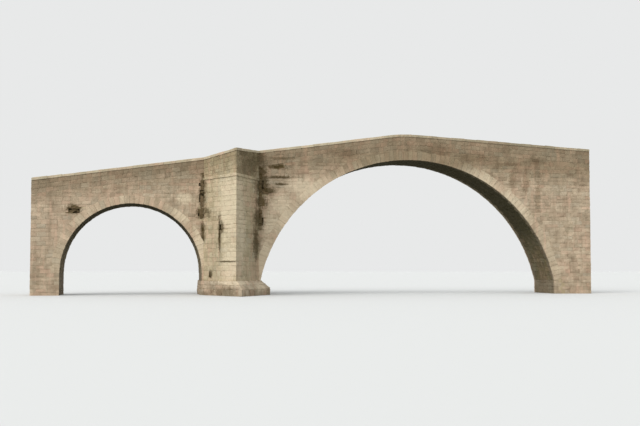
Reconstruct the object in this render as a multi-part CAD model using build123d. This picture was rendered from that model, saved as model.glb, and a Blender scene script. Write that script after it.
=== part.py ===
# Two-arched humpback stone bridge, in millimetres.
# X runs along the bridge from the low bank to the high bank, Y across it and Z up.
# The origin is on the ground at the middle of the bridge's length and width.
# The front is the -Y side, and the back side repeats it.
import math
import os

from build123d import *

# Lengths along the bridge, from the low end to the high end.
left_abutment_length = 1800
small_arch_span = 9200
pier_width = 3850
large_arch_span = 20700
right_abutment_length = 2700

# The small arch is a half circle on short jambs. The large one springs off the footing.
small_springing_z = 1450
small_ring_depth = 500
small_ring_count = 7
large_arch_rise = 8280
large_ring_depth = 540
large_ring_count = 9
ring_joint = 12

# Widths across the bridge.
bridge_width = 3800
spandrel_thickness = 450
parapet_thickness = 350

# The road climbs steeply to a rounded crest and falls gently to the high bank.
left_grade = 0.138
right_grade = 0.060
crest_radius = 8000
crest_shift = -550
crown_cover = 200
paving_thickness = 170
parapet_height = 710
coping_thickness = 120
coping_overhang = 40
coping_arris = 30

# The pier stands on a footing with sloped sides and has a pointed cutwater on each side.
cutwater_projection = 3700
cutwater_inset = 100
cutwater_top_z = 7620
cap_thickness = 160
cap_overhang = 60
footing_height = 950
footing_toe_height = 400
footing_left_step = 110
footing_right_step = 660
footing_shoulder = 50
haunch_z = 5200

# Facing stones that have fallen out of the front, beside the cutwater's two edges
# and over the small arch: (distance along from that place, z, width, height).
socket_depth = 260
left_corner_sockets = [(-190, 7330, 300, 330), (-180, 6550, 300, 820), (-230, 5400, 430, 400)]
right_corner_sockets = [(190, 7350, 320, 620), (170, 6250, 280, 380), (180, 4900, 300, 560)]
small_arch_sockets = [(-3750, 5500, 820, 300)]

# A long crack and a hole in the left face of the front cutwater.
face_gaps = [
    {"along": 0.50, "z": 4100, "width": 110, "height": 2400, "depth": 160},
    {"along": 0.54, "z": 4380, "width": 330, "height": 420, "depth": 240},
    {"along": 0.22, "z": 1350, "width": 260, "height": 420, "depth": 160},
]

# Places along and across the bridge.
bridge_length = (
    left_abutment_length + small_arch_span + pier_width + large_arch_span + right_abutment_length
)
left_end_x = -bridge_length / 2
right_end_x = bridge_length / 2
small_left_x = left_end_x + left_abutment_length
small_centre_x = small_left_x + small_arch_span / 2
pier_left_x = small_left_x + small_arch_span
pier_right_x = pier_left_x + pier_width
pier_x = (pier_left_x + pier_right_x) / 2
large_centre_x = pier_right_x + large_arch_span / 2
large_right_x = pier_right_x + large_arch_span
face_y = -bridge_width / 2
core_half_width = bridge_width / 2 - spandrel_thickness
road_half_width = bridge_width / 2 - parapet_thickness

# Radii and levels of the arches.
small_radius = small_arch_span / 2
small_outer_radius = small_radius + small_ring_depth
large_springing_z = footing_height
large_radius = (large_arch_span**2 / 4 + large_arch_rise**2) / (2 * large_arch_rise)
large_outer_radius = large_radius + large_ring_depth
large_crown_z = large_springing_z + large_arch_rise
large_centre_z = large_crown_z - large_radius
skewback_angle = math.asin((large_springing_z - large_centre_z) / large_radius)

# The road's profile: two straight grades whose meeting point is rounded.
crest_x = large_centre_x + crest_shift
crest_z = large_crown_z + large_ring_depth + crown_cover + paving_thickness
left_slope_angle = math.atan(left_grade)
right_slope_angle = math.atan(right_grade)
crest_tangent = crest_radius * math.tan((left_slope_angle + right_slope_angle) / 2)
coping_top = parapet_height + coping_thickness
sky_z = 2 * crest_z

# Plan of the cutwater.
cutwater_half_width = pier_width / 2 - cutwater_inset
cutwater_side = math.hypot(cutwater_half_width, cutwater_projection)
cutwater_left_x = pier_x - cutwater_half_width
cutwater_right_x = pier_x + cutwater_half_width
beyond_nose_y = face_y - 2 * cutwater_projection


def box_between(x0, x1, z0, z1):
    """A rectangle in x and z."""
    return Pos((x0 + x1) / 2, (z0 + z1) / 2) * Rectangle(x1 - x0, z1 - z0)


def below_road(lift):
    """All that lies under the road's profile raised by lift, between the bridge's ends."""
    left_z = crest_z - left_grade * (crest_x - left_end_x) + lift
    right_z = crest_z - right_grade * (right_end_x - crest_x) + lift
    left_tangent = Vector(
        crest_x - crest_tangent * math.cos(left_slope_angle),
        crest_z - crest_tangent * math.sin(left_slope_angle) + lift,
    )
    right_tangent = Vector(
        crest_x + crest_tangent * math.cos(right_slope_angle),
        crest_z - crest_tangent * math.sin(right_slope_angle) + lift,
    )
    climb = Line((left_end_x, left_z), left_tangent)
    crest = TangentArc(left_tangent, right_tangent, tangent=climb % 1)
    fall = Line(right_tangent, (right_end_x, right_z))
    sides = Polyline((right_end_x, right_z), (right_end_x, 0), (left_end_x, 0), (left_end_x, left_z))
    return make_face(Curve() + [climb, crest, fall, sides])


def road_band(low, high, x0=left_end_x, x1=right_end_x):
    """The strip between two copies of the road's profile, from x0 to x1."""
    return (below_road(high) - below_road(low)) & box_between(x0, x1, 0, sky_z)


def across(elevation, y0, y1):
    """A solid with this elevation between two places across the bridge."""
    return Pos(0, y1, 0) * extrude(Plane.XZ * elevation, amount=y1 - y0, dir=(0, -1, 0))


def upright(plan, z0, z1):
    """A solid with this plan between two levels."""
    return Pos(0, 0, z0) * extrude(plan, amount=z1 - z0, dir=(0, 0, 1))


def cut_in_lengths(ring, centre, start, count):
    """An arch ring cut into equal lengths by mortar joints along its radii."""
    step = (math.pi - 2 * start) / count
    for i in range(1, count):
        angle = start + i * step
        middle = Vector(math.cos(angle), math.sin(angle)) * (sky_z / 2)
        joint = Pos(*middle) * Rot(0, 0, math.degrees(angle)) * Rectangle(sky_z, ring_joint)
        ring -= centre * joint
    return ring


def nose_outline(offset, back_y):
    """Plan of the front cutwater set out by offset, cut off square at back_y."""
    apex_y = face_y - cutwater_projection - offset * cutwater_side / cutwater_half_width
    half = (back_y - apex_y) * cutwater_half_width / cutwater_projection
    return Polygon(
        (pier_x + half, back_y), (pier_x - half, back_y), (pier_x, apex_y), align=None
    )


def footing_outline(left_step, right_step):
    """Plan of the pier with both its noses, stepped out on the left and on the right."""
    left_x = pier_left_x - left_step
    right_x = pier_right_x + right_step
    apex_x = (left_x + right_x) / 2
    apex_y = face_y - (apex_x - left_x) * cutwater_projection / cutwater_half_width
    front = [(left_x, face_y), (apex_x, apex_y), (right_x, face_y)]
    back = [(x, -y) for x, y in reversed(front)]
    return Polygon(*front, *back, align=None)


def sockets_at(edge_x, sockets):
    """Blocks the size of the fallen stones, to be cut out of the front face."""
    return [
        across(
            box_between(edge_x + x - w / 2, edge_x + x + w / 2, z - h / 2, z + h / 2),
            face_y,
            face_y + socket_depth,
        )
        for x, z, w, h in sockets
    ]


def in_left_face(gap):
    """A block sunk into the left face of the front cutwater."""
    x = cutwater_left_x + gap["along"] * cutwater_half_width
    y = face_y - gap["along"] * cutwater_projection
    turn = -math.degrees(math.atan2(cutwater_projection, cutwater_half_width))
    return Pos(x, y, gap["z"]) * Rot(0, 0, turn) * Box(gap["width"], 2 * gap["depth"], gap["height"])


def refuge_wall(outer_offset, thickness, back_y, half_width, band):
    """The pointed wall round the front refuge, as high as this strip of the profile."""
    ring = nose_outline(outer_offset, back_y) - nose_outline(outer_offset - thickness, back_y)
    ring &= Pos(pier_x, 0) * Rectangle(2 * half_width, -2 * beyond_nose_y)
    return upright(ring, 0, sky_z) & across(band, beyond_nose_y, back_y)


def with_soft_top(coping, ends):
    """A coping with its long upper edges bevelled, but not those at its ends."""
    tops = coping.faces().filter_by(lambda f: f.normal_at().Z > 0.9)
    inner = [
        edge
        for edge in tops.edges()
        if all(abs(edge.center().X - x) > 1 for x in ends)
        and sum(edge.is_same(other) for other in tops.edges()) == 1
    ]
    return chamfer(inner, coping_arris)


def write(name, shape):
    """One STEP file for one piece."""
    solids = shape.solids()
    export_step(solids[0] if len(solids) == 1 else Compound(solids), f"parts/{name}.step")


def write_both_sides(name, shape):
    """A piece of the front, and the same piece on the back."""
    write(f"front_{name}", shape)
    write(f"back_{name}", mirror(shape, about=Plane.XZ))


os.makedirs("parts", exist_ok=True)

# Elevations of the openings and of the rings of wedge stones round them.
small_centre = Pos(small_centre_x, small_springing_z)
above_small_springing = box_between(left_end_x, right_end_x, small_springing_z, sky_z)
small_void = small_centre * Circle(small_radius) & above_small_springing
small_void += box_between(small_left_x, pier_left_x, 0, small_springing_z)
small_ring = small_centre * (Circle(small_outer_radius) - Circle(small_radius))
small_ring &= above_small_springing
large_centre = Pos(large_centre_x, large_centre_z)
large_void = large_centre * Circle(large_radius)
large_void &= box_between(left_end_x, right_end_x, large_springing_z, sky_z)
large_void += box_between(pier_right_x, large_right_x, 0, large_springing_z)
reach = 2 * large_outer_radius
reach_x = reach * math.cos(skewback_angle)
reach_z = reach * math.sin(skewback_angle)
large_sector = large_centre * Polygon(
    (0, 0), (reach_x, reach_z), (reach_x, reach), (-reach_x, reach), (-reach_x, reach_z), align=None
)
large_ring = large_centre * (Circle(large_outer_radius) - Circle(large_radius)) & large_sector
arches = small_void + small_ring + large_void + large_ring

# Arch rings on both faces, with the barrels of the vaults between them. Each is
# turned in equal lengths, with the middle one over the crown.
rings = {
    "small_arch": cut_in_lengths(small_ring, small_centre, 0, small_ring_count),
    "large_arch": cut_in_lengths(large_ring, large_centre, skewback_angle, large_ring_count),
}
for name, ring in rings.items():
    write_both_sides(f"{name}_ring", across(ring, face_y, -core_half_width))
    write(f"{name}_barrel", across(ring, -core_half_width, core_half_width))

# The footing carries the pier and both cutwaters, and spreads most into the large arch.
toe = footing_outline(footing_left_step, footing_right_step)
shoulder = footing_outline(footing_shoulder, footing_shoulder)
levels = [Pos(0, 0, footing_toe_height) * toe, Pos(0, 0, footing_height) * shoulder]
write("pier_footing", upright(toe, 0, footing_toe_height) + loft(levels, ruled=True))

# Holes that the fallen stones have left in the front.
sockets = (
    sockets_at(cutwater_left_x, left_corner_sockets)
    + sockets_at(cutwater_right_x, right_corner_sockets)
    + sockets_at(small_centre_x, small_arch_sockets)
)

# The pier and the abutments are solid masonry up to the arches' haunches.
pier = box_between(small_centre_x, large_centre_x, footing_height, haunch_z) - arches
left_abutment = box_between(left_end_x, small_centre_x, 0, haunch_z) - arches
right_abutment = box_between(large_centre_x, right_end_x, 0, haunch_z) - arches
write("pier_shaft", across(pier, face_y, -face_y) - sockets)
write("left_abutment", across(left_abutment, face_y, -face_y))
write("right_abutment", across(right_abutment, face_y, -face_y))

# Spandrel walls on both faces and the rubble between them, in three lengths.
spandrels = below_road(-paving_thickness) & box_between(left_end_x, right_end_x, haunch_z, sky_z)
spandrels -= arches
lengths = {"left": (left_end_x, pier_x), "middle": (pier_x, crest_x), "right": (crest_x, right_end_x)}
for length, (x0, x1) in lengths.items():
    outline = spandrels & box_between(x0, x1, haunch_z, sky_z)
    wall = across(outline, face_y, -core_half_width)
    write(f"front_spandrel_{length}", wall - sockets)
    write(f"back_spandrel_{length}", mirror(wall, about=Plane.XZ))
    write(f"rubble_fill_{length}", across(outline, -core_half_width, core_half_width))

# The cutwaters end level, each under a cap that juts out a little.
cutwater = upright(nose_outline(0, face_y), footing_height, cutwater_top_z)
write("back_cutwater", mirror(cutwater, about=Plane.XZ))
for gap in face_gaps:
    cutwater -= in_left_face(gap)
write("front_cutwater", cutwater)
cap_top_z = cutwater_top_z + cap_thickness
cap = upright(nose_outline(cap_overhang, face_y), cutwater_top_z, cap_top_z)
write_both_sides("cutwater_cap", cap)

# The base of each refuge rises from the cap to the climbing road, on the same pointed plan.
under_paving = across(below_road(-paving_thickness), beyond_nose_y, face_y)
refuge_base = upright(nose_outline(0, face_y), cap_top_z, sky_z) & under_paving
write_both_sides("refuge_base", refuge_base)

# Paving of the road, and of the refuges over the cutwaters.
write("roadway", across(road_band(-paving_thickness, 0), -road_half_width, road_half_width))
refuge_plan = upright(nose_outline(-parapet_thickness, -road_half_width), 0, sky_z)
refuge_band = across(road_band(-paving_thickness, 0), beyond_nose_y, -road_half_width)
write_both_sides("refuge_paving", refuge_plan & refuge_band)

# Straight parapets from the road's underside up, and their copings.
coping_left_x = cutwater_left_x - coping_overhang
coping_right_x = cutwater_right_x + coping_overhang
runs = {
    "left": (left_end_x, cutwater_left_x, left_end_x, coping_left_x),
    "middle": (cutwater_right_x, crest_x, coping_right_x, crest_x),
    "right": (crest_x, right_end_x, crest_x, right_end_x),
}
for length, (wall_x0, wall_x1, coping_x0, coping_x1) in runs.items():
    wall = road_band(-paving_thickness, parapet_height, wall_x0, wall_x1)
    write_both_sides(f"parapet_{length}", across(wall, face_y, -road_half_width))
    strip = road_band(parapet_height, coping_top, coping_x0, coping_x1)
    coping = across(strip, face_y - coping_overhang, -road_half_width + coping_overhang)
    write_both_sides(f"coping_{length}", with_soft_top(coping, (coping_x0, coping_x1)))

# The parapet of each refuge is two walls that meet at the cutwater's point.
wall_band = road_band(-paving_thickness, parapet_height)
refuge = refuge_wall(0, parapet_thickness, -road_half_width, cutwater_half_width, wall_band)
write_both_sides("refuge_wall", refuge)
refuge_coping = refuge_wall(
    coping_overhang,
    parapet_thickness + 2 * coping_overhang,
    -road_half_width + coping_overhang,
    cutwater_half_width + coping_overhang,
    road_band(parapet_height, coping_top),
)
write_both_sides("refuge_coping", with_soft_top(refuge_coping, (coping_left_x, coping_right_x)))
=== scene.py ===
import math

import bpy
import numpy as np
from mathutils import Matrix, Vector


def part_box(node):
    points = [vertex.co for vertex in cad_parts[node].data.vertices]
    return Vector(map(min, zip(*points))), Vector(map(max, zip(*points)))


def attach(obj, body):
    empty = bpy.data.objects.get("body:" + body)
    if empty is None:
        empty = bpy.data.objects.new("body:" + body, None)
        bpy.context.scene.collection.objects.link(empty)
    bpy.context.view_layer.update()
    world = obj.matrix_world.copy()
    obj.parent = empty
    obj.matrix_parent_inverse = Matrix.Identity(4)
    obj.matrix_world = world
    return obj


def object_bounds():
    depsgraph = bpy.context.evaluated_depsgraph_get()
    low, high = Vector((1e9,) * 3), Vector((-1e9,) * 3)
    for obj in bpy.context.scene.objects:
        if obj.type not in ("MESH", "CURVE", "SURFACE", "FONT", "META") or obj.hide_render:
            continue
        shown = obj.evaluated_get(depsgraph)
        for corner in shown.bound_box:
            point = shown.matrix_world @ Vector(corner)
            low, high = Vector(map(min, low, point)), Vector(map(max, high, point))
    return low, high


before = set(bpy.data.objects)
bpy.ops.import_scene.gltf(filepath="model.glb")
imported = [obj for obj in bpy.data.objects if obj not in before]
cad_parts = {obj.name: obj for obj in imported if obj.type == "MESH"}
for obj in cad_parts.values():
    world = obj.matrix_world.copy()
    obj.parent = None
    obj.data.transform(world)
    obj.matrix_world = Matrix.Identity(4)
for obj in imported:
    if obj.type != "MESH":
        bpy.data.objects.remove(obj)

cad_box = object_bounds()


# The mortar and the core. Every solid of the frame is the lime mortar and rubble that
# the stones are bedded in, so it shows only in the joints and in the holes that fallen
# stones have left. Lime mortar is sandy, pale brown and rough.
half_width = abs(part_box("front_spandrel_left")[0].y)


def paint(red, green, blue):
    """A colour as it is seen, 0 to 255, in the linear values that a shader takes."""
    seen = [value / 255 for value in (red, green, blue)]
    linear = [v / 12.92 if v <= 0.04045 else ((v + 0.055) / 1.055) ** 2.4 for v in seen]
    return (*linear, 1)


class Finish:
    """A material laid on in coats, with patterns that lie in the object's own coordinates."""

    def __init__(self, name, colour):
        self.material = bpy.data.materials.new(name)
        self.material.use_nodes = True
        self.tree = self.material.node_tree
        self.tree.nodes.clear()
        self.place = self.add("ShaderNodeTexCoord").outputs["Object"]
        self.x, self.y, self.z = self.add("ShaderNodeSeparateXYZ", {"Vector": self.place}).outputs
        self.colour = colour
        self.relief = None

    def add(self, kind, inputs=None, **settings):
        node = self.tree.nodes.new(kind)
        for key, value in settings.items():
            setattr(node, key, value)
        for key, value in (inputs or {}).items():
            if isinstance(value, bpy.types.NodeSocket):
                self.tree.links.new(value, node.inputs[key])
            else:
                node.inputs[key].default_value = value
        return node

    def moved(self, scale, shift):
        inputs = {"Vector": self.place, "Scale": scale, "Location": shift}
        return self.add("ShaderNodeMapping", inputs).outputs["Vector"]

    def noise(self, size, detail=4, rough=0.55, stretch=(1, 1, 1), shift=0.0):
        """Cloudy noise whose patches are about size metres across."""
        place = self.moved(stretch, (shift, 2 * shift, 3 * shift))
        inputs = {"Vector": place, "Scale": 1 / size, "Detail": detail, "Roughness": rough}
        return self.add("ShaderNodeTexNoise", inputs).outputs["Fac"]

    def spread(self, value, low, high, least=0.0, most=1.0):
        """A value stretched so that low becomes least and high becomes most, and held there."""
        inputs = {"Value": value, "From Min": low, "From Max": high, "To Min": least, "To Max": most}
        return self.add("ShaderNodeMapRange", inputs).outputs["Result"]

    def calculate(self, operation, first, second=0.0):
        return self.add("ShaderNodeMath", {0: first, 1: second}, operation=operation).outputs[0]

    def plus(self, first, second):
        return self.calculate("ADD", first, second)

    def times(self, first, second):
        return self.calculate("MULTIPLY", first, second)

    def about_zero(self, noise, reach):
        """Noise that runs from minus half of reach to half of reach."""
        return self.times(self.calculate("SUBTRACT", noise, 0.5), reach)

    def near(self, places, ragged):
        """1 inside the places and 0 outside, with a ragged edge. A place is an ellipse seen from
        the front: x, z, half its width and half its height."""
        closest = 9.0
        for x, z, wide, tall in places:
            scaled = self.moved((1 / wide, 0, 1 / tall), (-x / wide, 0, -z / tall))
            length = self.add("ShaderNodeVectorMath", {0: scaled}, operation="LENGTH").outputs["Value"]
            closest = self.calculate("MINIMUM", closest, length)
        return self.spread(self.plus(closest, ragged), 1.1, 0.45)

    def coat(self, share, colour, blend="MIX"):
        """One more layer of colour, over this share of what is there."""
        inputs = {0: share, 6: self.colour, 7: colour}
        self.colour = self.add("ShaderNodeMix", inputs, data_type="RGBA", blend_type=blend).outputs[2]

    def carve(self, value, depth):
        """Relief of this depth in metres, on top of what is there already."""
        inputs = {"Height": value, "Distance": depth, "Strength": 1.0}
        if self.relief is not None:
            inputs["Normal"] = self.relief
        self.relief = self.add("ShaderNodeBump", inputs).outputs["Normal"]

    def done(self, roughness):
        inputs = {"Base Color": self.colour, "Roughness": roughness, "Specular IOR Level": 0.25}
        if self.relief is not None:
            inputs["Normal"] = self.relief
        shader = self.add("ShaderNodeBsdfPrincipled", inputs)
        self.add("ShaderNodeOutputMaterial", {"Surface": shader.outputs["BSDF"]})
        return self.material


# Dark places, each x, z, half width and half height: painted shade with soot and black growth where
# water runs down in the corners beside the cutwater, under a ledge and along the crack, and dark
# streaks on a few beds and round the hole over the small arch.
left_corner_shade_and_stains = [
    (-8.1, 7.95, 0.2, 0.36), (-8.1, 7.35, 0.25, 0.45), (-8.12, 6.55, 0.27, 0.95),
    (-8.12, 5.45, 0.5, 0.5), (-8.1, 4.1, 0.2, 0.9),
]
right_corner_shade_and_stains = [
    (-4.32, 8.15, 0.62, 0.9), (-4.22, 7.3, 0.64, 0.9), (-3.75, 6.95, 0.52, 0.36), (-4.2, 6.2, 0.5, 0.6),
    (-4.1, 7.6, 0.42, 0.9), (-4.4, 5.0, 0.5, 1.0), (-4.62, 3.6, 0.34, 1.5),
]
dark_beds = [
    (-3.1, 8.58, 0.8, 0.19), (-2.9, 8.62, 0.34, 0.28), (-2.9, 7.89, 1.05, 0.15),
    (-2.9, 7.42, 0.6, 0.11), (-16.5, 5.6, 0.7, 0.36),
]
crack_shade_and_stains = [
    (-7.11, 4.0, 0.11, 1.5), (-7.04, 4.38, 0.2, 0.5), (-7.62, 1.35, 0.12, 0.36),
    (-6.72, 2.19, 0.6, 0.07),
]
shade_and_stains = left_corner_shade_and_stains + right_corner_shade_and_stains + dark_beds + crack_shade_and_stains


def lime_mortar():
    lime = Finish("lime_mortar", paint(168, 152, 126))
    grit = lime.noise(0.02, 6, 0.7)
    patches = lime.noise(0.6, 5)
    lime.coat(lime.spread(patches, 0.35, 0.65), paint(198, 182, 155))
    lime.coat(lime.spread(grit, 0.3, 0.7, 0.0, 0.35), paint(126, 110, 86))
    shade_and_stains_near = lime.near(shade_and_stains, lime.about_zero(patches, 1.0))
    # Mortar from 15 mm behind the face of the wall is painted dark: painted shade in the holes and the
    # vault's joints, and dirt in the paving's joints.
    across = lime.calculate("ABSOLUTE", lime.y)
    shade_and_dirt_behind_face = lime.spread(across, half_width - 0.015, half_width - 0.035)
    lime.coat(lime.calculate("MAXIMUM", shade_and_stains_near, shade_and_dirt_behind_face), paint(74, 61, 34))
    lime.carve(grit, 0.006)
    lime.carve(patches, 0.02)
    return lime.done(lime.spread(grit, 0.3, 0.7, 0.85, 1.0))


mortar = lime_mortar()
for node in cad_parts.values():
    for slot in node.material_slots:
        slot.material = mortar


# The face walls of the abutments and spandrels. They are coursed limestone, split and
# roughly squared, 0.2 to 0.31 m high, laid level in lime and cut to fit round the arches
# and under the climbing parapet. A few stones have fallen out beside the cutwater.
left_end, right_end = cad_box[0][0], cad_box[1][0]
cutwater_low, cutwater_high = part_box("front_cutwater")
cutwater_left, cutwater_right = cutwater_low.x, cutwater_high.x
footing_top = 0.95
small_arch = {"x": -12.725, "z": 1.45, "radius": 4.6, "depth": 0.5, "spring": 1.45, "haunch": 5.36}
large_arch = {"x": 6.075, "z": -1.379, "radius": 10.609, "depth": 0.54, "spring": footing_top, "haunch": 7.16}
road_mesh = np.array([v.co[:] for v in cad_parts["roadway"].data.vertices])
road_x = np.unique(road_mesh[:, 0].round(3))
road_z = [road_mesh[abs(road_mesh[:, 0] - x) < 0.002, 2].max() for x in road_x]


def road(x):
    """Level of the road's surface."""
    return np.interp(x, road_x, road_z)


wall_foot = -0.17      # the parapet's foot, from the road's surface
far_down, thinnest = -9.0, 0.1      # a level below the bridge, and the lowest course


def panel(bed_left, bed_right, top_left, top_right, normal):
    """A flat stone: three points along its bed, three along its top, and their normals."""
    ends = np.array([[bed_left, bed_right], [top_left, top_right]], float)
    return np.stack([ends[:, 0], ends.mean(1), ends[:, 1]], axis=1), np.array([normal] * 3)


def model_stone(work):
    """The points and faces of a unit cube after some work on its upper face, in edit mode."""
    bpy.ops.object.select_all(action="DESELECT")
    bpy.ops.mesh.primitive_cube_add(size=1, location=(0.5, 0.5, 0.5))
    model = bpy.context.object
    bpy.ops.object.transform_apply()
    bpy.ops.object.mode_set(mode="EDIT")
    bpy.ops.mesh.select_mode(type="FACE")
    bpy.ops.mesh.select_all(action="DESELECT")
    bpy.ops.object.mode_set(mode="OBJECT")
    for face in model.data.polygons:
        face.select = face.normal.z > 0.9
    bpy.ops.object.mode_set(mode="EDIT")
    work()
    bpy.ops.object.mode_set(mode="OBJECT")
    points = np.array([v.co[:] for v in model.data.vertices])
    faces = [list(p.vertices) for p in model.data.polygons]
    bpy.data.objects.remove(model)
    return points, faces


def cut_face():
    """The upper face becomes a stone's front, in four strips each way."""
    bpy.ops.mesh.subdivide(number_cuts=3)


block_points, block_faces = model_stone(cut_face)


def finish_piece(name, points, model_faces, rng, material):
    """One object of many stones, which keeps on each stone's points how pale and warm it is."""
    count, size = points.shape[:2]
    faces = [[i + n * size for i in face] for n in range(count) for face in model_faces]
    tones = np.clip(rng.normal(0.5, 0.17, (count, 4)), 0, 1)
    tones[:, 3] = 1
    mesh = bpy.data.meshes.new(name)
    mesh.from_pydata(points.reshape(-1, 3).tolist(), [], faces)
    shade = mesh.attributes.new("stone", "FLOAT_COLOR", "POINT")
    shade.data.foreach_set("color", np.repeat(tones, size, axis=0).ravel())
    mesh.materials.append(material)
    piece = bpy.data.objects.new(name, mesh)
    bpy.context.collection.objects.link(piece)
    bpy.ops.object.select_all(action="DESELECT")
    piece.select_set(True)
    bpy.context.view_layer.objects.active = piece
    bpy.ops.object.shade_smooth_by_angle(angle=math.radians(32))
    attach(piece, "root")


def length_of(vectors):
    return np.linalg.norm(vectors, axis=-1, keepdims=True)


def share_of(size, length, most):
    """A size as a share of a length, and never more than most of it."""
    return np.minimum(most, size / np.maximum(length, 1e-6))


def lay(name, stones, slot, material, seed, proud=0.009, joint=0.009, wear=0.014, rough=0.005, deep=0.06):
    """The block, set on every panel and corner, as one piece. It stands proud of the mortar and
    reaches deep behind it. wear is the width of the strips along its edges, and rough the
    relief of its face."""
    rng = np.random.default_rng(seed)
    corners = np.array([stone[0] for stone in stones])
    normals = np.array([stone[1] for stone in stones])
    count, each = len(stones), len(block_points)
    along = (corners[:, :, 2] - corners[:, :, 0]).mean(1)
    rise = corners[:, 1] - corners[:, 0]
    turned = np.einsum("ij,ij->i", np.cross(along, rise.mean(1)), normals[:, 1]) < 0
    corners[turned] = corners[turned][:, :, ::-1]
    normals[turned] = normals[turned][:, ::-1]

    # The corners are drawn in by half a joint all round.
    for end in (0, 2):
        leg = corners[:, :, 1] - corners[:, :, end]
        corners[:, :, end] += leg * share_of(joint / 2, length_of(leg), 0.3)
    rise = corners[:, 1] - corners[:, 0]
    shrink = rise * share_of(joint / 2, length_of(rise), 0.3)
    corners[:, 0] += shrink
    corners[:, 1] -= shrink

    # The block's face has five lines of points each way. blend is how much of the stone's
    # left, middle and right corner goes into each upright line, and levels is how high on
    # the stone each level line is.
    worn = rng.uniform(0.7, 1.3, (count, 1)) * wear
    nick = share_of(worn, length_of(np.diff(corners, axis=2)).mean(1)[..., 0], 0.33)
    lip = share_of(worn, length_of(rise[:, 1]), 0.3)
    blend = np.zeros((count, 5, 3))
    blend[:, 0, 0] = blend[:, 2, 1] = blend[:, 4, 2] = 1
    blend[:, 1, 0], blend[:, 1, 1] = 1 - nick[:, 0], nick[:, 0]
    blend[:, 3, 2], blend[:, 3, 1] = 1 - nick[:, 1], nick[:, 1]
    levels = np.hstack([0 * lip, lip, 0.5 + 0 * lip, 1 - lip, 1 + 0 * lip])
    u, v = (block_points[:, :2].T * 4).round().astype(int)
    bed, top, outward = (
        np.einsum("nkc,ncx->nkx", blend[:, u], values) for values in (corners[:, 0], corners[:, 1], normals)
    )

    # The face is crowned and uneven, and each point drifts a little along and up the stone.
    # The first of the three draws is unused, and keeps the later ones in their order.
    crown = 0.5 - 0.12 * (np.abs(u - 2) + np.abs(v - 2))
    stand = proud * rng.uniform(0.75, 1.25, (count, 1)) + rng.normal(0, rough, (count, each))
    stand += 1.6 * rough * crown
    stand[:, block_points[:, 2] < 0.5] = -np.broadcast_to(deep, count)[:, None]
    _, sideways, upward = joint * rng.uniform(-0.4, 0.4, (3, count, each))[..., None]
    share = levels[:, v, None]
    points = bed * (1 - share) + top * share + outward * stand[:, :, None]
    for drift, way in ((sideways, along), (upward, rise.mean(1))):
        points += drift * (way / length_of(way))[:, None]
    finish_piece(name, points, block_faces, rng, material)


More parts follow.
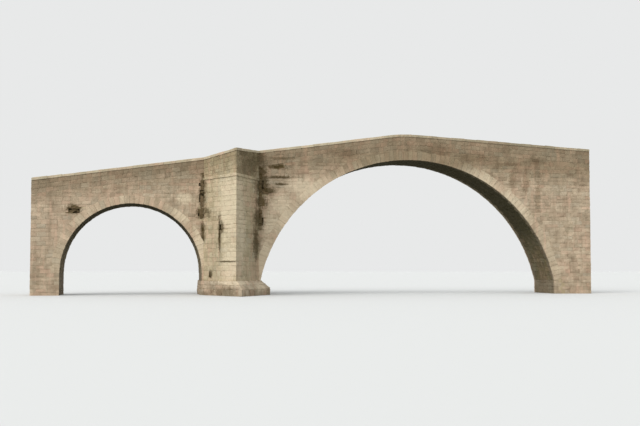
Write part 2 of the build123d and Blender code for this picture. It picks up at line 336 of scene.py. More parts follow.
def limestone(
    name, pale, middle, dark, rain=0.5, mottle=1.0, lichen=0.6, hues=1.0, soot_and_shade=(), blackness=0.84,
    wash_and_light=(), dull=(), head=0.0, under=0.0, damp_and_shade=None
):
    """Weathered limestone: stones of differing tone, mottled, streaked by rain and pitted.
    rain, mottle, lichen and hues are how strong the streaks, the patches, the growth on level
    faces and the pink and grey tints are. soot_and_shade, dull and wash_and_light are places with
    black, faint and pale coats: the faint ones stains, the black ones painted shade together with
    soot, the pale ones painted light together with pale stains, and blackness is how black the first
    are. head darkens the stone under the coping, under is how much painted shade it takes behind the
    face of the wall, and damp_and_shade is the level over which it darkens, for damp and painted
    shade towards the crown."""
    stone = Finish(name, paint(*dark))
    own = stone.add("ShaderNodeAttribute", attribute_name="stone").outputs["Color"]
    own_tone, own_hue, _ = stone.add("ShaderNodeSeparateColor", {"Color": own}).outputs
    patches = stone.noise(0.55, 6, 0.62)
    grain = stone.noise(0.05, 6, 0.7)

    # The stone itself, which varies inside a block, from block to block and along the wall.
    tone = stone.plus(stone.about_zero(patches, 0.75 * mottle), stone.spread(own_tone, 0, 1, 0.3, 0.7))
    stone.coat(stone.spread(tone, 0.28, 0.68), paint(*pale))
    stone.coat(stone.spread(stone.noise(3.4, 3, 0.5, shift=3.1), 0.35, 0.68, 0.1, 0.6), paint(*middle))
    along_wall = stone.spread(stone.noise(1.7, 3, 0.55, shift=4.2), 0.3, 0.7, -0.25, 0.25)
    hue = stone.plus(own_hue, along_wall)
    stone.coat(stone.spread(hue, 0.5, 0.95, 0.0, 0.42 * hues), paint(200, 165, 144))
    stone.coat(stone.spread(hue, 0.45, 0.05, 0.0, 0.36 * hues), paint(172, 166, 150))
    stone.coat(stone.spread(grain, 0.34, 0.56, 0.3, 0.0), paint(108, 94, 74))

    # Rain streaks, dry runs, brown crust and white bloom.
    streaks = stone.noise(0.5, 5, 0.6, (1.0, 1.0, 0.12), 7.7)
    stone.coat(stone.times(stone.spread(streaks, 0.52, 0.7), rain), paint(122, 104, 84))
    dry = stone.noise(0.34, 5, 0.6, (1.0, 1.0, 0.14), 11.3)
    stone.coat(stone.spread(dry, 0.54, 0.7, 0.0, 0.45 * hues), paint(206, 172, 150))
    crust = stone.noise(0.9, 7, 0.75, shift=9.1)
    stone.coat(stone.spread(crust, 0.56, 0.66, 0.0, 0.32 * mottle), paint(134, 122, 98))
    bloom = stone.noise(0.28, 7, 0.8, shift=6.4)
    stone.coat(stone.spread(bloom, 0.6, 0.68, 0.0, 0.4 * hues), paint(214, 208, 188))

    # Stains, painted shade and painted light, with torn edges at their places.
    ragged = stone.about_zero(stone.noise(0.7, 5, 0.65, shift=5.0), 1.3)
    ragged = stone.plus(ragged, stone.about_zero(stone.noise(0.16, 5, 0.75, shift=2.0), 1.9))
    ragged = stone.plus(ragged, stone.spread(grain, 0.3, 0.7, -0.16, 0.16))
    if head:
        climb = stone.plus(stone.times(stone.x, 0.138), 9.378)      # the road's two slopes
        fall = stone.plus(stone.times(stone.x, -0.06), 10.472)
        below = stone.calculate("SUBTRACT", stone.calculate("MINIMUM", climb, fall), stone.z)
        below = stone.plus(below, stone.times(ragged, 0.7))
        below = stone.plus(below, stone.spread(stone.x, -6.0, 5.0, 0.4, -0.75))
        stone.coat(stone.spread(below, 1.5, 0.1, 0.0, head), (0.6, 0.58, 0.525, 1), "MULTIPLY")
    if dull:
        stone.coat(stone.near(dull, ragged), (0.73, 0.7, 0.66, 1), "MULTIPLY")
    # Pale places: painted light where the wall lies in shade, together with pale stains.
    if wash_and_light:
        stone.coat(stone.times(stone.near(wash_and_light, ragged), 0.6), paint(216, 202, 178))
    # Black places: painted shade in corners and under ledges, together with soot and black growth.
    if soot_and_shade:
        stone.coat(stone.times(stone.near(soot_and_shade, ragged), blackness), paint(69, 56, 26))
    # Painted shade under the arch, darker the further it lies behind the face of the wall.
    if under:
        across = stone.plus(stone.calculate("ABSOLUTE", stone.y), stone.times(ragged, 0.12))
        stone.coat(stone.spread(across, half_width, half_width - 0.18, 0.0, under), paint(66, 59, 38))
    # Darker upward from the damp level: damp stone with painted shade towards the crown.
    if damp_and_shade:
        level = stone.plus(stone.z, stone.times(ragged, 1.5))
        stone.coat(stone.spread(level, damp_and_shade, damp_and_shade + 2.4, 0.0, 0.88), paint(64, 59, 37))
    facing = stone.add("ShaderNodeNewGeometry").outputs["Normal"]
    facing_up = stone.add("ShaderNodeSeparateXYZ", {"Vector": facing}).outputs["Z"]
    grown = stone.times(stone.spread(facing_up, 0.35, 0.9), stone.spread(patches, 0.42, 0.62))
    stone.coat(stone.times(grown, lichen), paint(126, 120, 100))

    # The tooled and pitted surface.
    pits = stone.add("ShaderNodeTexVoronoi", {"Vector": stone.place, "Scale": 24.0, "Randomness": 1.0})
    stone.carve(stone.noise(0.16, 5, 0.6, shift=1.3), 0.025)
    stone.carve(grain, 0.007)
    stone.carve(stone.spread(pits.outputs["Distance"], 0.0, 0.3), 0.004)
    return stone.done(stone.spread(grain, 0.3, 0.7, 0.78, 0.96))


# Painted light on the walls, where the cutwater casts its shadow and the corners beside it lie in shade.
wall_painted_light = [
    (-3.5, 4.4, 0.8, 1.5), (-2.8, 6.0, 0.9, 0.9), (-1.5, 7.3, 1.1, 0.7), (-8.8, 3.2, 0.5, 1.6),
    (-9.3, 6.35, 0.6, 0.4),
]
faint_stains = [
    (1.3, 9.62, 1.4, 0.34), (7.9, 9.85, 1.7, 0.6), (10.3, 9.45, 1.4, 0.4), (13.2, 9.02, 1.2, 0.16),
    (15.2, 9.28, 0.9, 0.34), (13.4, 7.9, 0.26, 0.9), (14.4, 7.8, 0.32, 0.8), (15.25, 6.7, 0.22, 1.3),
]
ashlar = limestone(
    "ashlar", (200, 182, 159), (176, 158, 137), (140, 123, 103),
    mottle=1.5, soot_and_shade=shade_and_stains, wash_and_light=wall_painted_light, head=1.0, dull=faint_stains
)


def stretches(start, end, rng, shortest, longest):
    """The way from start to end in stretches of uneven length, each as the places of its ends."""
    count = max(1, round(abs(end - start) / (0.5 * (shortest + longest))))
    steps = np.cumsum(rng.uniform(shortest, longest, count))
    places = [start, *(start + (end - start) * steps / steps[-1])]
    return list(zip(places, places[1:]))


def courses_between(marks, seed, lowest, highest):
    """The low and high level of each course, with a bed at each mark."""
    rng = np.random.default_rng(seed)
    parts = [stretches(low, high, rng, lowest, highest) for low, high in zip(marks, marks[1:])]
    return sum(parts, [])


def round_holes(stone, holes, rng):
    """What is left of a stone beside the holes. A stone is its left end at the bed and at the
    top, its right end at both, and the levels of its bed and of its top at the two ends."""
    left = [stone]
    for x0, x1, z0, z1 in holes:
        kept = []
        torn = rng.uniform(-0.05, 0.45, 4) * min(x1 - x0, 0.3)
        x0, x1, z0, z1 = x0 + torn[0], x1 - torn[1], z0 + torn[2] / 2, z1 - torn[3] / 2
        for a0, a1, b0, b1, bed, top in left:
            a, b = min(a0, a1), max(b0, b1)
            low, high = min(bed), max(top)
            wide, tall = min(b, x1) - max(a, x0), min(high, z1) - max(low, z0)
            if wide <= 0.02 or tall <= 0.02:
                kept.append((a0, a1, b0, b1, bed, top))
            elif tall < 0.35 * (high - low):
                if z0 + z1 > high + low:
                    kept.append((a0, a1, b0, b1, bed, [min(z, z0) for z in top]))
                else:
                    kept.append((a0, a1, b0, b1, [max(z, z1) for z in bed], top))
            else:
                if x0 - a > 0.1:
                    kept.append((a0, a1, x0, x0, bed, top))
                if b - x1 > 0.1:
                    kept.append((x1, x1, b0, b1, bed, top))
        left = kept
    return left


def over_ring(arch, x):
    """Level of the ring's upper edge, a little inside it, or far down where there is no ring."""
    outer = arch["radius"] + arch["depth"] - 0.03
    rise = np.sqrt(np.maximum(0, outer**2 - (x - arch["x"]) ** 2))
    return np.where(np.abs(x - arch["x"]) < outer, arch["z"] + rise, far_down)


def beside_ring(arch, z):
    """Half the width of the arch with its ring at level z, a little inside the ring's edge."""
    outer = arch["radius"] + arch["depth"] - 0.05
    return math.sqrt(max(0, outer**2 - (z - arch["z"]) ** 2))


def lay_course(stones, ends, low, high, arch, holes, side, rng):
    """One course of a face wall. Its ends are the left one at bed and top and the right one. It
    is cut along the arch below it, if there is one, and along the parapet's foot."""
    x = np.arange(min(ends[:2]), max(ends[2:]) + 0.01, 0.01)
    floor = over_ring(arch, x) if arch else np.full(len(x), far_down)
    roof = road(x) + wall_foot
    there = (roof >= low + thinnest) & (floor <= high - thinnest)
    whole_top, whole_bed = roof >= high + thinnest, floor <= low - thinnest
    kind = there * (1 + 2 * whole_top + 4 * whole_bed)
    for run in np.split(np.arange(len(x)), np.flatnonzero(np.diff(kind)) + 1):
        if not there[run[0]] or len(run) < 5:
            continue
        parts = stretches(x[run[0]], x[min(run[-1] + 1, len(x) - 1)], rng, 0.3, 0.78)
        for number, (a, b) in enumerate(parts):
            left, right = (a, a), (b, b)
            if run[0] == 0 and number == 0:
                left = ends[:2]
            if run[-1] == len(x) - 1 and number == len(parts) - 1:
                right = ends[2:]
            bed = [low if whole_bed[run[0]] else float(over_ring(arch, end)) for end in (a, b)]
            top = [high if whole_top[run[0]] else float(road(end)) + wall_foot for end in (a, b)]
            for a0, a1, b0, b1, (l0, l1), (h0, h1) in round_holes((*left, *right, bed, top), holes, rng):
                y = side * half_width
                stones.append(panel((a0, y, l0), (b0, y, l1), (a1, y, h0), (b1, y, h1), (0, side, 0)))


def lay_face(name, courses, ends, arch, holes, side, seed):
    """A face wall with one arch in it. Each end is a pair of places, for even and odd courses."""
    rng = np.random.default_rng(seed)
    stones = []
    steep = arch["z"] + (arch["radius"] + arch["depth"]) * math.sin(math.radians(50))
    for number, (low, high) in enumerate(courses):
        start, end = (pair[number % 2] for pair in ends)
        below, parts = arch, [(start, start, end, end)]
        if low < steep:
            reach = [arch["radius"] + jamb_legs[number % 2]] * 2
            if high > arch["spring"] + 0.01:
                reach = [beside_ring(arch, max(z, arch["spring"])) for z in (low, high)]
            left, right = ([arch["x"] + way * half for half in reach] for way in (-1, 1))
            below, parts = None, [(start, start, *left), (*right, end, end)]
        for part in parts:
            if min(part[2:]) - max(part[:2]) > 0.06:
                lay_course(stones, part, low, high, below, holes, side, rng)
    lay(name, stones, "ashlar", ashlar, seed + 1)


def sockets(edge_x, places):
    """Holes of fallen stones: distance from the edge, level, width and height of each."""
    return [(edge_x + x - w / 2, edge_x + x + w / 2, z - h / 2, z + h / 2) for x, z, w, h in places]


above_wall = 10.2
left_marks = [0, footing_top, small_arch["spring"], small_arch["haunch"], above_wall]
left_courses = courses_between(left_marks, 3, 0.2, 0.31)
right_courses = courses_between([0, footing_top, large_arch["haunch"], above_wall], 4, 0.2, 0.31)
end_legs, jamb_legs = (0.62, 0.36), (0.5, 0.3)
left_places = [(-0.19, 7.33, 0.3, 0.33), (-0.18, 6.55, 0.3, 0.82), (-0.23, 5.4, 0.43, 0.4)]
right_places = [(0.19, 7.35, 0.32, 0.62), (0.17, 6.25, 0.28, 0.38), (0.18, 4.9, 0.3, 0.56)]
left_sockets = sockets(cutwater_left, left_places) + sockets(small_arch["x"], [(-3.75, 5.5, 0.82, 0.3)])
right_sockets = sockets(cutwater_right, right_places)

# Where the facing has worn back, as left, right, lowest and highest.
left_worn = [
    (-16.7, -15.95, 5.6, 5.8), (-17.0, -16.5, 5.28, 5.42), (-8.27, -8.02, 5.55, 7.62),
    (-8.45, -8.02, 5.0, 5.8), (-8.16, -8.02, 3.4, 4.6),
]
right_worn = [(-4.38, -4.15, 4.45, 8.5), (-4.3, -3.72, 6.72, 7.1), (-4.38, -3.95, 5.9, 6.5)]
open_beds = [(-3.25, -2.7, 8.5, 8.66), (-3.6, -2.2, 7.86, 7.915), (-3.2, -2.5, 7.39, 7.44)]
left_ends = [left_end + leg for leg in end_legs], [cutwater_left] * 2
right_ends = [cutwater_right] * 2, [right_end - leg for leg in end_legs[::-1]]
for side, where in ((-1, "front"), (1, "back")):
    left_gone, right_gone = [], []
    if where == "front":
        left_gone, right_gone = left_sockets + left_worn, right_sockets + right_worn + open_beds
    lay_face(f"wall_stones_{where}_left", left_courses, left_ends, small_arch, left_gone, side, 20 + side)
    lay_face(f"wall_stones_{where}_right", right_courses, right_ends, large_arch, right_gone, side, 30 + side)


# The core stones: small rough rubble, bedded anyhow in the core behind the facing. It
# shows only at the back of the holes.
def lay_core(name, holes, nearest, deepest, seed, start=(0.0, -half_width), way=(1.0, 0.0)):
    """Rubble in the holes of a face whose plan is the line from start along way. The stones'
    faces lie between nearest and deepest behind it."""
    rng = np.random.default_rng(seed)
    start, way, inward = np.array([*start, 0.0]), np.array([*way, 0.0]), np.array([-way[1], way[0], 0.0])
    stones, depths = [], []
    for x0, x1, z0, z1 in holes:
        for _ in range(max(4, round((x1 - x0) * (z1 - z0) * 62))):
            wide = min(rng.uniform(0.1, 0.24), 0.9 * (x1 - x0))
            tall = min(rng.uniform(0.07, 0.16), 0.9 * (z1 - z0))
            x = rng.uniform(x0 + wide / 2, max(x0 + wide / 2 + 0.01, x1 - wide / 2))
            z = rng.uniform(z0 + tall / 2, max(z0 + tall / 2 + 0.01, z1 - tall / 2))
            tilt = rng.uniform(-0.25, 0.25)
            depth = rng.uniform(nearest, deepest)
            cos, sin = math.cos(tilt), math.sin(tilt)
            corners = []
            for u, v in ((-1, -1), (1, -1), (-1, 1), (1, 1)):
                u, v = u * wide / 2, v * tall / 2
                place = x + u * cos - v * sin, z + u * sin + v * cos
                along, level = np.clip(place, (x0, z0), (x1, z1))
                corners.append(start + way * along + inward * depth + np.array([0, 0, level]))
            stones.append(panel(*corners, -inward))
            depths.append(max(deepest - depth, 0) + 0.03)
    shape = dict(proud=0.0, joint=0.004, wear=0.024, rough=0.008, deep=np.array(depths))
    lay(name, stones, "rubble", core_stone, seed + 1, **shape)


core_stone = limestone("core_stone", (104, 89, 59), (84, 70, 44), (58, 48, 28), rain=0.4, hues=0.25)
lay_core("core_stones_in_holes", left_sockets + right_sockets, 0.06, 0.2, 38)
lay_core("core_stones_in_face", left_worn + right_worn, -0.008, -0.002, 39)


# The quoins: longer squared stones at the bridge's two ends and at the foot of each arch.
# They turn the corner, laid with their long side by turns on the one face and the other,
# and the plain stones of the end walls and jambs lie between them.
def raised(point, level):
    """A plan point lifted to a level, which is a number or a function of the point."""
    return np.array([*point[:2], level(point) if callable(level) else level])


def upright(p, q, low, high, normal):
    """A flat stone over the plan line from p to q, between two levels."""
    return panel(*[raised(point, level) for level in (low, high) for point in (p, q)], normal)


def bent(bed, top, first, second):
    """A corner stone: three points along its bed, three along its top, and a normal for each leg."""
    mitre = (first + second) / (1 + first @ second)
    return np.array([bed, top]), np.array([first, mitre, second])


def lay_end(name, courses, x, inward, legs, top, seed, material=ashlar):
    """A square end of masonry across the bridge at x, up to top. inward is the way into the
    masonry, and legs are the long and short side of the quoins at its two corners."""
    rng = np.random.default_rng(seed)
    stones = []
    y, normal = inward * half_width, np.array([-inward, 0, 0])
    for number, (low, high) in enumerate(courses):
        if low > top - thinnest:
            break
        high = top if high > top - thinnest else high
        outer_leg, inner_leg = legs[number % 2], legs[(number + 1) % 2]
        for corner in (y, -y):
            inner_end = x, corner - math.copysign(inner_leg, corner)
            line = [(x + inward * outer_leg, corner), (x, corner), inner_end]
            bed, head = ([raised(p, level) for p in line] for level in (low, high))
            stones.append(bent(bed, head, np.array([0, math.copysign(1, corner), 0]), normal))
        for a, b in stretches(inner_leg, 2 * half_width - inner_leg, rng, 0.4, 0.8):
            stones.append(upright((x, y - inward * a), (x, y - inward * b), low, high, normal))
    lay(name, stones, "ashlar", material, seed + 1)


left_top, right_top = (float(road(x)) + wall_foot for x in (left_end, right_end))
lay_end("end_stones_left", left_courses, left_end, 1, end_legs, left_top, 41)
lay_end("end_stones_right", right_courses, right_end, -1, end_legs[::-1], right_top, 42)
jamb_stone = limestone("jamb_stone", (192, 175, 152), (169, 152, 131), (134, 118, 98), mottle=1.5, under=0.6)
left_jamb, pier_jamb = (small_arch["x"] + way * small_arch["radius"] for way in (-1, 1))
right_jamb = large_arch["x"] + 10.35
pier_courses, pier_legs = [(footing_top, 1.2), (1.2, small_arch["spring"])], (0.1, 0.1)
for name, courses, x, inward, legs, arch, seed in (
    ("left_abutment", left_courses, left_jamb, -1, jamb_legs, small_arch, 43),
    ("pier", pier_courses, pier_jamb, 1, pier_legs, small_arch, 44),
    ("right_abutment", right_courses, right_jamb, 1, jamb_legs, large_arch, 45),
):
    lay_end(f"jamb_stones_{name}", courses, x, inward, legs, arch["spring"], seed, jamb_stone)


# The arch rings and vaults. Wedge-shaped stones about 0.3 m thick stand in a ring on each
# face and reach 0.4 or 0.55 m under the vault, and between them the vault is built of
# courses that run through from face to face, all on radial beds.
# Painted light on the rings, most of it where the cutwater casts its shadow.
ring_painted_light = [
    (-4.2, 2.6, 0.9, 2.4), (-2.9, 5.4, 0.8, 1.3), (-1.2, 7.2, 1.2, 0.9), (-8.3, 3.4, 0.5, 2.2),
    (-9.4, 5.4, 0.9, 0.8), (10.6, 6.9, 2.1, 2.1), (12.9, 5.4, 2.0, 2.0),
]
voussoirs = limestone(
    "voussoirs", (201, 184, 160), (179, 162, 140), (156, 140, 119), rain=0.35,
    soot_and_shade=[(9.4, 8.9, 1.4, 0.6)], blackness=0.25, wash_and_light=ring_painted_light, head=1.0, under=0.7
)
# The vault's stone is dark and darkens towards the crown: damp stone with painted shade.
damp_shaded_vault_stone = limestone("damp_shaded_vault_stone", (118, 107, 76), (97, 88, 60), (72, 64, 42), hues=0.6, damp_and_shade=2.2)


def lay_arch(name, arch, count, seed):
    """The two rings of an arch, of count stones each, and the courses of its vault."""
    rng = np.random.default_rng(seed)
    rings = {-1: [], 1: []}
    vault = []
    inner = arch["radius"]
    start = math.asin((arch["spring"] - arch["z"]) / inner)
    step = (math.pi - 2 * start) / count

    def at(angle, radius, y):
        return np.array([arch["x"] + radius * math.cos(angle), y, arch["z"] + radius * math.sin(angle)])

    for i in range(count):
        angles = start + i * step, start + (i + 1) * step
        middle = sum(angles) / 2
        inward = np.array([-math.cos(middle), 0, -math.sin(middle)])
        outer = inner + arch["depth"] + rng.uniform(-0.03, 0.05)
        leg = 0.55 if i % 2 else 0.38
        for side in (-1, 1):
            y = side * half_width
            lines = [[at(a, outer, y), at(a, inner, y), at(a, inner, y - side * leg)] for a in angles]
            rings[side].append(bent(*lines, np.array([0.0, side, 0]), inward))
        reach = half_width - leg
        for ends in stretches(-reach, reach, rng, 0.4, 0.85):
            vault.append(panel(*[at(angle, inner, y) for angle in angles for y in ends], inward))
    shape = dict(proud=0.024, joint=0.01, wear=0.016, rough=0.004)
    lay(f"{name}_voussoirs_front", rings[-1], "voussoirs", voussoirs, seed + 1, **shape)
    lay(f"{name}_voussoirs_back", rings[1], "voussoirs", voussoirs, seed + 2, **shape)
    lay(f"{name}_vault_stones", vault, "voussoirs", damp_shaded_vault_stone, seed + 3, proud=0.02)


lay_arch("small_arch", small_arch, 47, 50)
lay_arch("large_arch", large_arch, 89, 60)


# The cutwaters: pointed piers of better squared and paler stone, in even courses that
# run round the nose in one sharp arris. The front one has a long crack and two holes in
# its left face, where the facing has opened.
nose_x, nose_reach = (cutwater_left + cutwater_right) / 2, abs(cutwater_low.y)
left_foot = np.array([cutwater_left, -half_width])
left_way = np.array([nose_x, -nose_reach]) - left_foot
left_way /= np.linalg.norm(left_way)
# Painted light on the cutwater, along its nose and on its shaded right face.
nose_painted_light = [(-6.5, 2.2, 0.6, 1.7), (-6.6, 5.6, 0.75, 2.6), (-5.9, 4.2, 0.45, 3.8)]
cutwater_stone = limestone(
    "cutwater_stone", (202, 188, 160), (182, 169, 142), (148, 135, 108), rain=0.3, soot_and_shade=shade_and_stains, wash_and_light=nose_painted_light
)
nose_courses = courses_between([cutwater_low.z, cutwater_high.z], 7, 0.26, 0.36)

# Gaps in the left face, as distances along it and levels. The crack wanders from course to
# course and is widest in its middle.
face_holes = [(2.05, 2.39, 4.17, 4.59), (0.78, 1.04, 1.14, 1.56)]
crack_at, crack_low, crack_high, crack_middle = 2.063, 2.8, 5.2, 4.2
crack_rng = np.random.default_rng(77)
crack = []
for low, high in nose_courses:
    if low > crack_low and high < crack_high:
        middle = crack_at + crack_rng.uniform(-0.07, 0.07)
        half = 0.1 - 0.035 * abs((low + high) / 2 - crack_middle)
        crack.append((middle - half, middle + half, low, high))


def wrap_course(stones, plan, low, high, legs, rng, lengths, closed=False):
    """One course along a line of plan points, with its outside on the right and a corner stone
    at each turn. low and high are levels, each a number or a function of a plan point."""
    plan = np.array(plan, float)
    sides = []
    for start, end in zip(plan, np.roll(plan, -1, axis=0)):
        length = np.linalg.norm(end - start)
        way = (end - start) / length
        sides.append((start, way, length, np.array([way[1], -way[0], 0])))
    sides = sides if closed else sides[:-1]
    taken = [[0.0, length] for start, way, length, normal in sides]
    longest = 0.45 if closed else 1.0
    for i in range(0 if closed else 1, len(sides)):
        (_, way_in, before, normal_in), (_, way_out, after, normal_out) = sides[i - 1], sides[i]
        first, second = min(legs[0], longest * before), min(legs[1], longest * after)
        line = [plan[i] - way_in * first, plan[i], plan[i] + way_out * second]
        bed, top = ([raised(p, level) for p in line] for level in (low, high))
        if way_in[0] * way_out[1] > way_in[1] * way_out[0]:
            stones.append(bent(bed, top, normal_in, normal_out))
        else:
            stones.append(panel(*bed[:2], *top[:2], normal_in))
            stones.append(panel(*bed[1:], *top[1:], normal_out))
        taken[i - 1][1] = before - first
        taken[i][0] = second
        legs = legs[::-1]
    for (start, way, length, normal), (a, b) in zip(sides, taken):
        if b - a > 0.05:
            for c, d in stretches(a, b, rng, *lengths):
                stones.append(upright(start + way * c, start + way * d, low, high, normal))


def open_up(stones, gaps, rng):
    """The stones less what is missing at the gaps in the left face."""
    kept = []
    across = np.array([-left_way[1], left_way[0]])
    for corners, normals in stones:
        from_foot = corners[:, :, :2] - left_foot
        if not np.allclose(normals[0], normals[2]) or np.abs(from_foot @ across).max() > 0.05:
            kept.append((corners, normals))
            continue
        along = from_foot @ left_way
        a, b = along.min(), along.max()
        bed, top = corners[:, ::2, 2].tolist()
        for a0, a1, b0, b1, (l0, l1), (h0, h1) in round_holes((a, a, b, b, bed, top), gaps, rng):
            p, q = left_foot + left_way * a0, left_foot + left_way * b0
            kept.append(panel((*p, l0), (*q, l1), (*p, h0), (*q, h1), normals[0]))
    return kept


def nose_outline(side):
    """The cutwater's point in plan, in the order in which its outside is on the right."""
    y = side * half_width
    return [(cutwater_left, y), (nose_x, side * nose_reach), (cutwater_right, y)][::-side]


def lay_cutwater(name, side, gaps, seed):
    rng = np.random.default_rng(seed)
    stones = []
    for number, (low, high) in enumerate(nose_courses):
        legs = (0.62, 0.34) if number % 2 else (0.34, 0.62)
        wrap_course(stones, nose_outline(side), low, high, legs, rng, (0.38, 0.8))
    if gaps:
        stones = open_up(stones, gaps, rng)
    shape = dict(proud=0.016, joint=0.01, wear=0.018, rough=0.005)
    lay(name, stones, "cutwater_stone", cutwater_stone, seed + 1, **shape)


lay_core("core_stones_in_crack", face_holes, 0.06, 0.14, 78, left_foot, left_way)
lay_cutwater("cutwater_stones_front", -1, face_holes + crack, 71)
lay_cutwater("cutwater_stones_back", 1, [], 73)


# The footing: large blocks in an upright course, and two courses on the slope above them,
# which draws in to the foot of the pier and its cutwaters.
toe_low, toe_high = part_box("pier_footing")
toe_height = 0.4
shoulder_left, shoulder_right, shoulder_reach = -8.175, -4.225, 5.904
footing_stone = limestone(
    "footing_stone", (196, 178, 156), (170, 151, 130), (130, 112, 90), mottle=1.5,
    soot_and_shade=[(-6.9, 0.2, 0.9, 0.42), (-7.9, 0.1, 0.4, 0.2)], blackness=0.5,
    wash_and_light=[(-6.3, 0.85, 1.3, 0.25), (-4.3, 0.6, 0.6, 0.4)]
)


def six_sided(left, right, reach, level):
    """The outline of the pier with its two noses, from the left end of its front face round."""
    y, middle = half_width, (left + right) / 2
    plan = [(left, -y), (middle, -reach), (right, -y), (right, y), (middle, reach), (left, y)]
    return np.array([(*point, level) for point in plan])


def lay_footing():
    rng = np.random.default_rng(80)
    toe = six_sided(toe_low.x, toe_high.x, toe_high.y, toe_height)
    shoulder = six_sided(shoulder_left, shoulder_right, shoulder_reach, footing_top)
    halfway = (toe + shoulder) / 2
    stones = []
    wrap_course(stones, toe[:, :2], 0.0, toe_height, (0.7, 0.5), rng, (0.55, 1.0), closed=True)
    for lower, upper in ((toe, halfway), (halfway, shoulder)):
        beds, tops = (np.roll(outline, -1, axis=0) - outline for outline in (lower, upper))
        for start, bed, head, top in zip(lower, beds, upper, tops):
            normal = np.cross(bed, head - start)
            normal /= np.linalg.norm(normal)
            length = np.linalg.norm(bed)
            for c, d in stretches(0, 1, rng, 0.5 / length, 0.95 / length):
                stones.append(panel(start + bed * c, start + bed * d, head + top * c, head + top * d, normal))
    shape = dict(proud=0.022, joint=0.016, wear=0.045, rough=0.014)
    lay("footing_stones", stones, "cutwater_stone", footing_stone, 81, **shape)


lay_footing()


# The parapets: thinner walls of small rough stones on the spandrels' outer edges, in
# courses that climb with the road, seen from the river and from the road. Round each
# refuge they follow the cutwater's point.
# Darker places on the refuge's right face, and a dark streak along the parapet.
refuge_dark_places = [
    (-5.5, 8.3, 0.62, 1.1), (-4.95, 8.6, 0.7, 1.3), (-5.6, 9.2, 0.5, 0.5), (-4.3, 9.0, 0.5, 0.9),
    (-2.7, 9.15, 1.1, 0.12),
]
parapet_stone = limestone(
    "parapet_stone", (199, 182, 161), (177, 160, 140), (145, 128, 109),
    rain=0.35, soot_and_shade=refuge_dark_places, blackness=0.6, head=1.0, dull=faint_stains
)
refuge_stone = limestone(
    "refuge_stone", (204, 190, 160), (182, 168, 140), (148, 134, 107),
    rain=0.35, soot_and_shade=refuge_dark_places, blackness=0.6, head=0.92
)
cap_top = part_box("front_cutwater_cap")[1].z
half_road, parapet_thickness = 1.55, 0.35
wall_head = 0.71      # the parapet's head, from the road's surface


def nose_line(offset, y):
    """Apex, and half the width at y, of the cutwater's outline set out by offset."""
    half, reach = nose_x - cutwater_left, nose_reach - half_width
    apex = nose_reach + offset * math.hypot(half, reach) / half
    return apex, (apex - y) * half / reach


def over_road(lift):
    """The level this far over the road, as a function of a plan point."""
    return lambda point: float(road(point[0])) + lift


def above_cap(share):
    """The level at this share of the height from the cutwater's cap to the parapet's foot."""
    return lambda point: cap_top + share * (float(road(point[0])) + wall_foot - cap_top)


def lay_parapets(side, where, seed):
    rng = np.random.default_rng(seed)
    outside, inside = side * half_width, side * half_road
    lengths = 0.28, 0.6
    stones, refuge = [], []
    apex, half = nose_line(-parapet_thickness, half_road)
    outer = nose_outline(side)
    inner = [(nose_x - half, inside), (nose_x, side * apex), (nose_x + half, inside)][::side]
    outer_ends = (left_end, cutwater_left), (cutwater_right, right_end)
    inner_ends = (left_end, nose_x - half), (nose_x + half, right_end)
    levels = np.linspace(wall_foot, wall_head, 4)
    for number, (foot, head) in enumerate(zip(levels, levels[1:])):
        low, inner_low, high = over_road(foot), over_road(max(foot, 0.0)), over_road(head)
        for outer_end, inner_end in zip(outer_ends, inner_ends):
            faces = (outer_end, outside, side, low), (inner_end, inside, -side, inner_low)
            for ends, y, facing, bed in faces:
                for a, b in stretches(*ends, rng, *lengths):
                    stones.append(upright((a, y), (b, y), bed, high, (0, facing, 0)))
        for x in (left_end, right_end):
            stones.append(upright((x, outside), (x, inside), low, high, (math.copysign(1, x), 0, 0)))
        legs = (0.5, 0.3) if number % 2 else (0.3, 0.5)
        wrap_course(refuge, outer, low, high, legs, rng, lengths)
        wrap_course(refuge, inner, inner_low, high, legs, rng, lengths)
    wrap_course(refuge, outer, above_cap(0.0), above_cap(0.5), (0.3, 0.5), rng, lengths)
    wrap_course(refuge, outer, above_cap(0.5), above_cap(1.0), (0.5, 0.3), rng, lengths)
    shape = dict(proud=0.016, joint=0.014, wear=0.026, rough=0.006)
    lay(f"parapet_stones_{where}", stones, "parapet_stone", parapet_stone, seed + 1, **shape)
    lay(f"refuge_stones_{where}", refuge, "parapet_stone", refuge_stone, seed + 2, **shape)


lay_parapets(-1, "front", 90)
lay_parapets(1, "back", 95)


# The copings and the cutwaters' caps: flat slabs of pale stone, about 0.9 m long, bedded
# on the walls with their upper edges worn round and a lip that stands out on both sides.
coping_stone = limestone(
    "coping_stone", (208, 196, 172), (188, 176, 152), (150, 138, 114),
    rain=0.25, mottle=1.1, lichen=0.5, soot_and_shade=[(12.5, 10.6, 9.0, 1.4)], blackness=0.38
)


def round_edges():
    """The upper face is drawn in by a quarter and raised as much, for the slab's worn edges."""
    bpy.ops.mesh.inset(thickness=0.25)
    bpy.ops.transform.translate(value=(0, 0, 0.25))
    bpy.ops.mesh.subdivide(number_cuts=1)


slab_points, slab_faces = model_stone(round_edges)


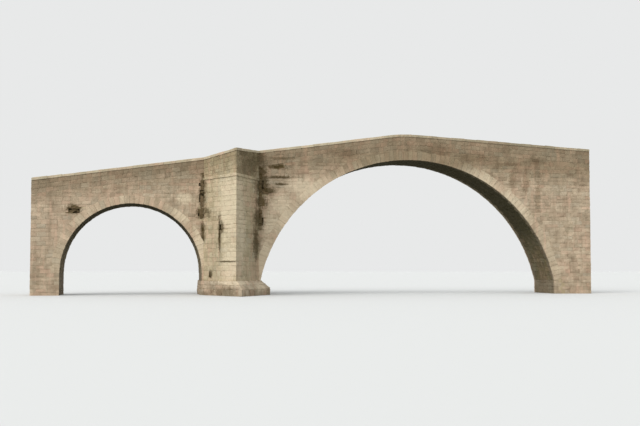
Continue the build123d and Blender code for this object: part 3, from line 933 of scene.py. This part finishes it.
def lay_slabs(name, slabs, material, seed):
    """The slab, set between eight corners each: [along][across][up]."""
    wear, joint = 0.03, 0.012
    rng = np.random.default_rng(seed)
    corners = np.array(slabs, float)
    count = len(corners)
    along = corners[:, 1].mean((1, 2)) - corners[:, 0].mean((1, 2))
    across = corners[:, :, 1].mean((1, 2)) - corners[:, :, 0].mean((1, 2))
    turned = np.cross(along, across)[:, 2] < 0
    corners[turned] = corners[turned][:, :, ::-1]
    trim = (corners[:, 1] - corners[:, 0]) * (joint / 2 / length_of(along))[:, None, None]
    corners[:, 0] += trim
    corners[:, 1] -= trim
    corners += rng.normal(0, 0.004, corners.shape)
    corners[:, :, :, 1, 2] += rng.normal(0, 0.006, (count, 1, 1))
    worn = wear * rng.uniform(0.7, 1.4, (count, 1))

    def placed(values, size):
        """The model's places across a slab, with the quarters moved to the worn edge's real width."""
        edge = np.minimum(0.3, worn / length_of(size))
        values = np.where(np.abs(values - 0.25) < 0.01, edge, values)
        return np.where(np.abs(values - 0.75) < 0.01, 1 - edge, values)

    u, v = placed(slab_points[:, 0], along), placed(slab_points[:, 1], across)
    w = np.where(slab_points[:, 2] > 1.1, 1.0, np.where(slab_points[:, 2] > 0.5, 0.87, 0.0))
    w = np.tile(w, (count, 1))
    shares = [np.stack([1 - values, values]) for values in (u, v, w)]
    points = np.einsum("inp,jnp,knp,nijkx->npx", *shares, corners)
    points[:, :, 2] += rng.normal(0, 0.004, points.shape[:2]) * (w > 0.9)
    finish_piece(name, points, slab_faces, rng, material)


def slab_row(outer, inner, levels, rng, shortest=0.7, longest=1.1):
    """Slabs along a wall, between an outer and an inner line in plan, with mitred ends."""
    lines = np.array([outer, inner], float)
    length = np.linalg.norm(lines[0, 1] - lines[0, 0])
    rows = []
    for shares in stretches(0, 1, rng, shortest / length, longest / length):
        ends = [[start + (end - start) * share for start, end in lines] for share in shares]
        rows.append([[[raised(point, level) for level in levels] for point in pair] for pair in ends])
    return rows


def nose_rows(side, outer, inner, levels, rng, *lengths):
    """Slabs round the cutwater's point, between two outlines of it, each an offset and a y."""
    rows = []
    for way in (-1, 1):
        lines = []
        for offset, y in (outer, inner):
            apex, half = nose_line(offset, y)
            lines.append([(nose_x + way * half, side * y), (nose_x, side * apex)])
        rows += slab_row(*lines, levels, rng, *lengths)
    return rows


def lay_copings(side, where, seed):
    rng = np.random.default_rng(seed)
    lip, end_lip = 0.055, 0.012
    outer, inner = (lip, half_width + lip), (-parapet_thickness - lip, half_road - lip)
    levels = over_road(0.70), over_road(0.864)
    straight = []
    for way, end in ((-1, left_end - end_lip), (1, right_end + end_lip)):
        lines = []
        for offset, y in (outer, inner):
            turn = nose_x + way * nose_line(offset, y)[1]
            lines.append([(turn, side * y), (end, side * y)][::way])
        straight += slab_row(*lines, levels, rng)
    lay_slabs(f"coping_slabs_{where}", straight, coping_stone, seed + 1)
    refuge = nose_rows(side, outer, inner, levels, rng)
    lay_slabs(f"refuge_coping_slabs_{where}", refuge, coping_stone, seed + 2)
    cap_levels = cap_top - 0.17, cap_top + 0.012
    cap = nose_rows(side, (0.075, half_width), (-0.2, half_width), cap_levels, rng, 0.6, 0.95)
    lay_slabs(f"cutwater_cap_slabs_{where}", cap, cutwater_stone, seed + 3)


lay_copings(-1, "front", 100)
lay_copings(1, "back", 110)


# The paving: worn flat stones across the road and in the refuges, laid dry in rows. At
# the two cut-off ends the edges of its last rows show.
paving_stone = limestone(
    "paving_stone", (164, 152, 130), (144, 132, 112), (116, 104, 86), rain=0.0, mottle=1.2, lichen=0.35
)


def lay_paving():
    rng = np.random.default_rng(120)
    stones = []
    surface, upward = over_road(0.0), (0, 0, 1)
    for row in stretches(left_end, right_end, rng, 0.34, 0.52):
        for sides in stretches(-half_road, half_road, rng, 0.3, 0.62):
            stones.append(panel(*[raised((x, y), surface) for x in row for y in sides], upward))
    apex, half = nose_line(-parapet_thickness, half_road)
    for side in (-1, 1):
        for row in stretches(half_road, apex - 0.25, rng, 0.34, 0.5):
            halves = [half * (apex - y) / (apex - half_road) for y in row]
            count = max(1, round(halves[0] / 0.28))
            for i in range(count):
                shares = -1 + 2 * i / count, -1 + 2 * (i + 1) / count
                points = [(nose_x + share * h, side * y) for h, y in zip(halves, row) for share in shares]
                stones.append(panel(*[raised(point, surface) for point in points], upward))
    for x in (left_end, right_end):
        outward = math.copysign(1, x), 0, 0
        for a, b in stretches(-half_road, half_road, rng, 0.3, 0.62):
            stones.append(upright((x, a), (x, b), over_road(wall_foot), surface, outward))
    shape = dict(proud=0.012, joint=0.016, wear=0.03, rough=0.004)
    lay("paving_stones", stones, "paving_stone", paving_stone, 121, **shape)


lay_paving()


# The floor under the bridge: plain and pale. It is a little darker for the light that it
# throws up under the arches than it looks to the camera.
def pale_floor():
    surface = Finish("pale_floor", paint(134, 134, 126))
    surface.coat(surface.add("ShaderNodeLightPath").outputs["Is Camera Ray"], paint(201, 202, 204))
    return surface.done(0.95)


bpy.ops.object.select_all(action="DESELECT")
bpy.ops.mesh.primitive_circle_add(vertices=96, radius=900, fill_type="NGON", location=(0, 0, 0))
floor = bpy.context.object
floor.name = "floor"
floor.data.materials.append(pale_floor())


# The light: an even pale sky, and a soft sun from the upper left that leaves the right
# face of the cutwater in shade. The camera sees the sky in a plainer tone.
sky = bpy.data.worlds.new("sky")
bpy.context.scene.world = sky
sky.use_nodes = True
nodes, links = sky.node_tree.nodes, sky.node_tree.links
nodes.clear()
either = nodes.new("ShaderNodeMixShader")
links.new(nodes.new("ShaderNodeLightPath").outputs["Is Camera Ray"], either.inputs[0])
for place, colour, strength in ((1, paint(231, 233, 231), 1.17), (2, paint(232, 233, 233), 1.0)):
    background = nodes.new("ShaderNodeBackground")
    background.inputs["Color"].default_value = colour
    background.inputs["Strength"].default_value = strength
    links.new(background.outputs[0], either.inputs[place])
links.new(either.outputs[0], nodes.new("ShaderNodeOutputWorld").inputs[0])

sun = bpy.data.lights.new("soft_sun", "SUN")
sun.energy = 2.5
sun.angle = math.radians(60)
sun.color = (0.985, 0.97, 0.915)
lamp = bpy.data.objects.new("soft_sun", sun)
bpy.context.collection.objects.link(lamp)
sun_side, sun_height = math.radians(44), math.radians(36)
toward = Vector((-math.sin(sun_side), -math.cos(sun_side), math.tan(sun_height)))
lamp.rotation_euler = toward.to_track_quat("Z", "Y").to_euler()


# The camera: just over the water, in front of the small arch, and far enough off for the
# whole bridge.
camera_data = bpy.data.cameras.new("camera")
camera_data.lens = 58
camera_data.clip_end = 3000
camera = bpy.data.objects.new("camera", camera_data)
bpy.context.collection.objects.link(camera)
camera.location = (small_arch["x"] + 0.96, -70.5, 1.68)
aim = Vector((0.1, 0.0, 5.6)) - camera.location
camera.rotation_euler = aim.to_track_quat("-Z", "Y").to_euler()
bpy.context.scene.camera = camera
bpy.context.scene.view_settings.view_transform = "Standard"
